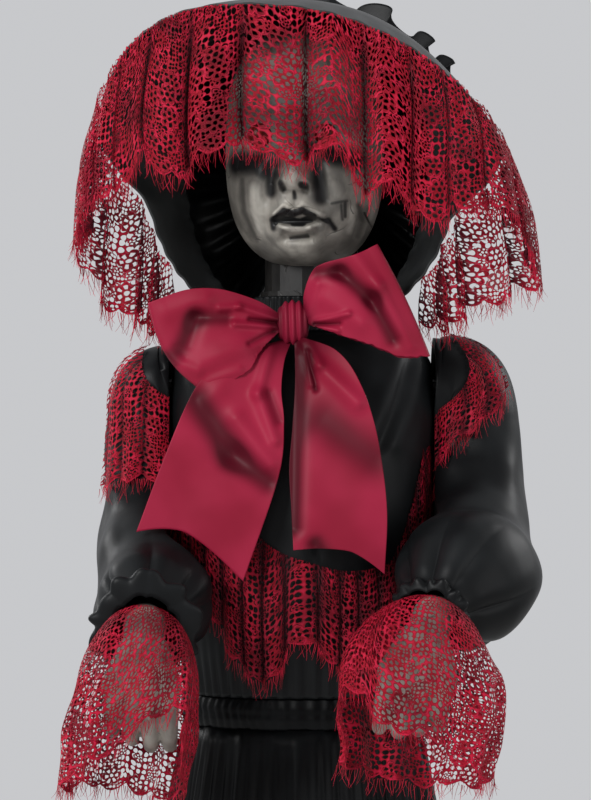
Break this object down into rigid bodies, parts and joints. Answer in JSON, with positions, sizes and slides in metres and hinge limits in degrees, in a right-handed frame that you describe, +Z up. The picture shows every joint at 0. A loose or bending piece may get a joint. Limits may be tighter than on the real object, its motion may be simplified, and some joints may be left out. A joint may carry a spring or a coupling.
{
  "type": "animated halloween figure",
  "caption": "Life-size standing doll lady in a lace-fringed bonnet and black satin dress, on a pole stand, with a turning waist and head.",
  "frame": {"origin": "centre of the base hub, on the floor", "axes": "+Z up, the figure faces -Y, and its own left side is at +X"},
  "size_m": [0.714, 0.6839, 1.6961],
  "materials": {
    "steel": "dark plated",
    "black_plastic": "moulded, matt",
    "nylon": "natural nylon, matt",
    "rubber": "matt",
    "grey_skin": "grey paint with cracks, half gloss",
    "eye_lens": "red lens, gloss",
    "black_satin": "black satin with a grey sheen",
    "red_lace": "open crimson lace with an eyelash edge",
    "red_satin": "crimson satin ribbon",
    "button_red": "gloss"
  },
  "bodies": {
    "stand": {"base_hub": "black_plastic", "leg_front_left": "steel", "leg_front_right": "steel", "leg_rear_left": "steel", "leg_rear_right": "steel", "foot_front_left": "rubber", "foot_front_right": "rubber", "foot_rear_left": "rubber", "foot_rear_right": "rubber", "lower_pole": "steel", "upper_pole": "steel", "pole_clamp": "black_plastic", "waist_gear": "nylon", "control_box_body": "black_plastic", "control_box_cover": "black_plastic", "speaker": "steel", "power_inlet": "black_plastic"},
    "try_button": {"try_me_button": "button_red"},
    "switch": {"power_switch": "button_red"},
    "door": {"battery_door": "black_plastic"},
    "torso": {"torso_spine": "steel", "shoulder_block": "black_plastic", "shoulder_bar": "steel", "waist_motor": "steel", "neck_motor": "steel", "chest_shell_front": "black_plastic", "chest_shell_rear": "black_plastic", "bodice": "black_satin", "collar": "black_satin", "waistband": "black_satin", "skirt": "black_satin", "waist_lace": "red_lace", "bow_knot": "red_satin", "bow_loop_left": "red_satin", "bow_loop_right": "red_satin", "bow_tail_left": "red_satin", "bow_tail_right": "red_satin"},
    "waist_drive_shaft": {"waist_pinion": "nylon"},
    "neck_drive_shaft": {"neck_pinion": "nylon"},
    "head": {"neck": "grey_skin", "neck_gear": "nylon", "face_mask": "grey_skin", "head_back": "grey_skin", "eye_left": "eye_lens", "eye_right": "eye_lens", "bonnet_brim": "black_satin", "bonnet_crown": "black_satin", "bonnet_curtain": "black_satin", "bonnet_frill": "black_satin", "bonnet_lace": "red_lace"},
    "left_arm": {"arm_tube_left": "black_plastic", "sleeve_left": "black_satin", "shoulder_lace_left": "red_lace", "hand_left": "grey_skin", "lace_cuff_left": "red_lace"},
    "right_arm": {"arm_tube_right": "black_plastic", "sleeve_right": "black_satin", "shoulder_lace_right": "red_lace", "hand_right": "grey_skin", "lace_cuff_right": "red_lace"}
  },
  "joints": [
    {"name": "torso_turn", "type": "hinge", "parent": "stand", "child": "torso", "pos_m": [0, 0, 0.97], "axis": [0, 0, 1], "range_deg": [-18, 18]},
    {"name": "head_turn", "type": "hinge", "parent": "torso", "child": "head", "pos_m": [0, 0, 1.33], "axis": [0, 0, 1], "range_deg": [-18, 22]},
    {"name": "waist_pinion_spin", "type": "hinge", "parent": "torso", "child": "waist_drive_shaft", "pos_m": [0, 0.0603, 0.96], "axis": [0, 0, 1], "range_deg": [-60, 60]},
    {"name": "neck_pinion_spin", "type": "hinge", "parent": "torso", "child": "neck_drive_shaft", "pos_m": [0, 0.0403, 1.34], "axis": [0, 0, 1], "range_deg": [-70, 70]},
    {"name": "left_arm_lift", "type": "hinge", "parent": "torso", "child": "left_arm", "pos_m": [0.131, 0, 1.3017], "axis": [-1, 0, 0], "range_deg": [-5, 30]},
    {"name": "right_arm_lift", "type": "hinge", "parent": "torso", "child": "right_arm", "pos_m": [-0.131, 0, 1.3017], "axis": [-1, 0, 0], "range_deg": [-8, 2]},
    {"name": "try_button_press", "type": "slide", "parent": "stand", "child": "try_button", "axis": [0, -1, 0], "range_m": [0, 0.0025], "stiffness_N_per_m": 200},
    {"name": "power_switch_slide", "type": "slide", "parent": "stand", "child": "switch", "axis": [1, 0, 0], "range_m": [0, 0.005]},
    {"name": "battery_door_swing", "type": "hinge", "parent": "stand", "child": "door", "pos_m": [0, 0.07085, 0.265], "axis": [-1, 0, 0], "range_deg": [0, 100]}
  ],
  "couplings": [
    {"joint": "waist_pinion_spin", "follows": "torso_turn", "ratio": 3},
    {"joint": "neck_pinion_spin", "follows": "head_turn", "ratio": -3}
  ]
}
